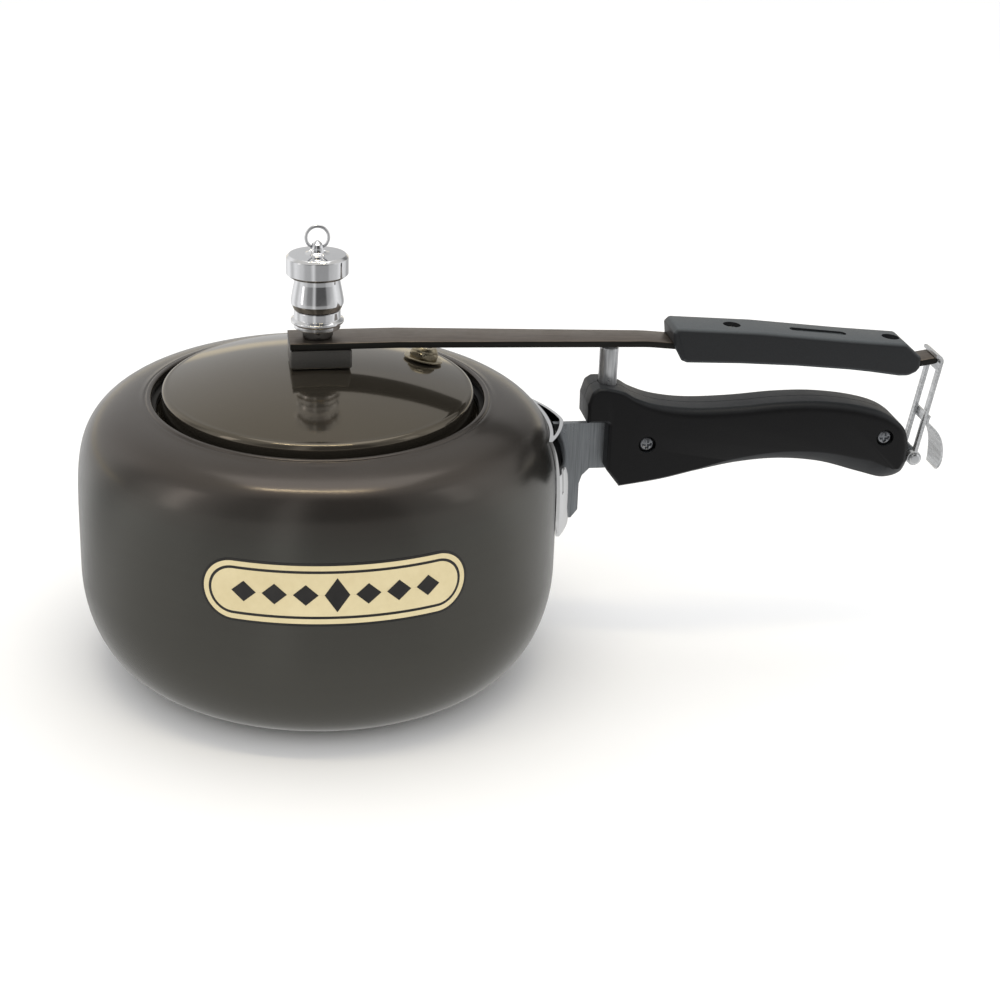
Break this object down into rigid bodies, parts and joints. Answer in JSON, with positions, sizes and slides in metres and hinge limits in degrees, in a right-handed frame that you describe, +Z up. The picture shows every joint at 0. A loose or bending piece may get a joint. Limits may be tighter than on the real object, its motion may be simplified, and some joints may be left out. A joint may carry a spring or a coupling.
{
  "type": "stovetop pressure cooker",
  "caption": "Stovetop pressure cooker: round bellied pot, inner lid on a lid bar that rocks on a post, long twin handles with a lock loop, pressure weight with ring.",
  "frame": {"origin": "centre of the steel base disc, on the surface that the cooker stands on", "axes": "+Z up, +X from the pot's axis along the handles, +Y towards the pot's back"},
  "size_m": [0.3931, 0.215, 0.202],
  "materials": {
    "dark_anodised": "satin dark olive grey hard anodised",
    "lid_anodised": "glossy bronze grey anodised",
    "bar_finish": "satin brown grey, dark cut edges",
    "chrome": "polished",
    "brushed_steel": "brushed",
    "black_plastic": "fine grain, low sheen",
    "slate_plastic": "fine grain, low sheen",
    "rubber": "matt black",
    "brass": "dull",
    "fuse_alloy": "dull"
  },
  "bodies": {
    "cooker": {"pot_body": "dark_anodised", "induction_base": "brushed_steel", "handle_arm": "brushed_steel", "support_post": "brushed_steel", "latch_pin": "brushed_steel", "bracket_rivet_1": "brushed_steel", "bracket_rivet_2": "brushed_steel", "bracket_rivet_3": "brushed_steel", "bracket_rivet_4": "brushed_steel", "handle_screw_1": "brushed_steel", "handle_screw_2": "brushed_steel", "handle_nut_1": "brushed_steel", "handle_nut_2": "brushed_steel", "handle_bracket": "chrome", "handle_shell_front": "black_plastic", "handle_shell_back": "black_plastic"},
    "lid_assembly": {"lid": "lid_anodised", "lid_gasket": "rubber", "lid_bar": "bar_finish", "bar_foot": "bar_finish", "vent_tube": "brushed_steel", "vent_nut": "bar_finish", "safety_valve": "brass", "fusible_plug": "fuse_alloy", "valve_nut": "brass", "lid_handle": "slate_plastic", "lid_handle_screw_1": "brushed_steel", "lid_handle_screw_2": "brushed_steel", "lid_handle_nut_1": "brushed_steel", "lid_handle_nut_2": "brushed_steel"},
    "latch": {"lock_loop": "brushed_steel", "thumb_tab": "brushed_steel"},
    "weight": {"vent_weight": "chrome", "weight_collar": "chrome"},
    "ring": {"weight_ring": "chrome"}
  },
  "joints": [
    {"name": "lid_rock", "type": "hinge", "parent": "cooker", "child": "lid_assembly", "pos_m": [0.13, 0, 0.14597], "axis": [0, -1, 0], "range_deg": [0, 8]},
    {"name": "lock_loop_swing", "type": "hinge", "parent": "cooker", "child": "latch", "pos_m": [0.27225, 0, 0.08899], "axis": [0, 1, 0], "range_deg": [0, 88]},
    {"name": "weight_lift", "type": "slide", "parent": "lid_assembly", "child": "weight", "axis": [0, 0, 1], "range_m": [0, 0.03]},
    {"name": "ring_swing", "type": "hinge", "parent": "weight", "child": "ring", "pos_m": [0, 0, 0.19149], "axis": [1, 0, 0], "range_deg": [-80, 80]}
  ],
  "couplings": [
    {"joint": "lock_loop_swing", "follows": "lid_rock", "ratio": 11}
  ]
}
